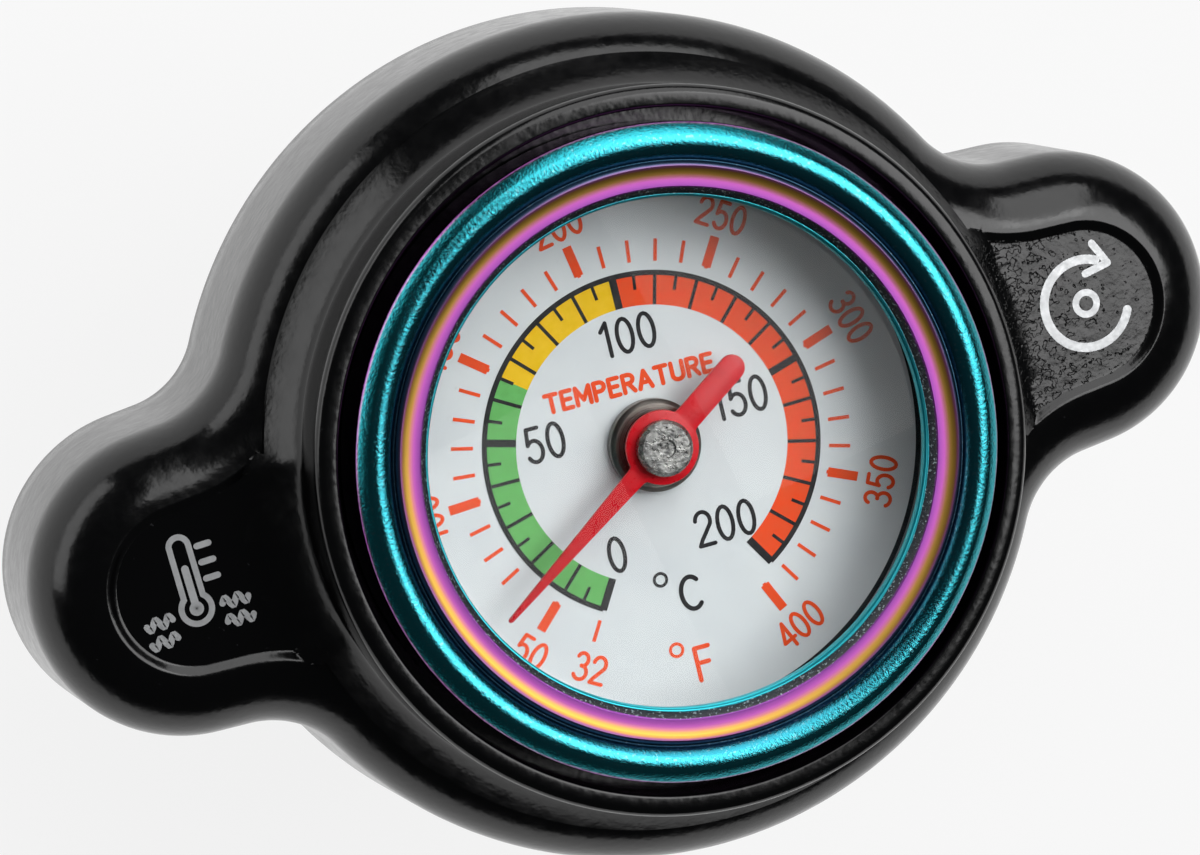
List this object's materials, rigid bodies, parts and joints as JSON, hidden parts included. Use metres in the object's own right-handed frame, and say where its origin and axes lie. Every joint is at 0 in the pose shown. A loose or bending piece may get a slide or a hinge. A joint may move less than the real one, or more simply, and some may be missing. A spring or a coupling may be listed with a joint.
{
  "type": "radiator cap with thermometer",
  "caption": "Two-winged black radiator cap with a round dial thermometer under glass, a rainbow-plated bezel, bayonet tabs, a sprung pressure valve, a vacuum valve and a temperature probe.",
  "frame": {"origin": "centre of the plane where the neck gasket meets the rim of the radiator's filler neck", "axes": "+Z along the cap's axis, out of the dial; +X along the wings, to the right as the dial is read; +Y to the top of the dial"},
  "size_m": [0.085, 0.0582, 0.0565],
  "materials": {
    "casting_paint": "satin black paint over a die casting, with a slight orange peel",
    "rainbow_plate": "polished steel with rainbow interference plating",
    "clear_glass": "clear polished glass",
    "black_rubber": "matt moulded rubber",
    "can_steel": "drawn steel",
    "dial_enamel": "pale matt enamel with printed scales",
    "stem_brass": "turned brass",
    "turned_steel": "turned steel",
    "pointer_paint": "gloss red enamel",
    "probe_steel": "drawn stainless tube",
    "bimetal": "rolled bimetal strip",
    "pressed_steel": "pressed stainless sheet",
    "spring_steel": "drawn spring wire"
  },
  "bodies": {
    "cap": {"cap_body": "casting_paint", "bezel_ring": "rainbow_plate", "lens": "clear_glass", "lens_gasket": "black_rubber", "gauge_can": "can_steel", "dial_plate": "dial_enamel", "stem_boss": "stem_brass", "spindle_bush": "turned_steel", "probe_tube": "probe_steel", "coil_anchor": "stem_brass", "bimetal_coil": "bimetal", "stem_oring": "black_rubber", "stem_nut": "stem_brass", "retaining_clip": "spring_steel"},
    "needle": {"pointer": "pointer_paint", "pointer_pin": "turned_steel", "spindle": "turned_steel"},
    "carrier": {"spring_disc": "pressed_steel", "neck_gasket": "black_rubber", "spring_holder": "pressed_steel", "pressure_spring": "spring_steel"},
    "pressure_plunger": {"valve_cup": "pressed_steel", "valve_sleeve": "stem_brass", "seal_pan": "pressed_steel", "valve_seal": "black_rubber", "vacuum_clip": "spring_steel", "vacuum_spring": "spring_steel"},
    "vacuum_plunger": {"vacuum_valve": "stem_brass"}
  },
  "joints": [
    {"name": "pointer_turn", "type": "hinge", "parent": "cap", "child": "needle", "pos_m": [0, 0, 0.0142], "axis": [0, 0, 1], "range_deg": [-272, 25.2], "stiffness_Nm_per_rad": 0.0002},
    {"name": "valve_swivel", "type": "hinge", "parent": "cap", "child": "carrier", "pos_m": [0, 0, 0.0012], "axis": [0, 0, 1], "continuous": true},
    {"name": "pressure_lift", "type": "slide", "parent": "carrier", "child": "pressure_plunger", "axis": [0, 0, 1], "range_m": [0, 0.0032], "stiffness_N_per_m": 15000, "springref_m": -0.004, "deforming": ["pressure_spring"]},
    {"name": "vacuum_drop", "type": "slide", "parent": "pressure_plunger", "child": "vacuum_plunger", "axis": [0, 0, -1], "range_m": [0, 0.0015], "stiffness_N_per_m": 300, "springref_m": -0.001, "deforming": ["vacuum_spring"]}
  ]
}
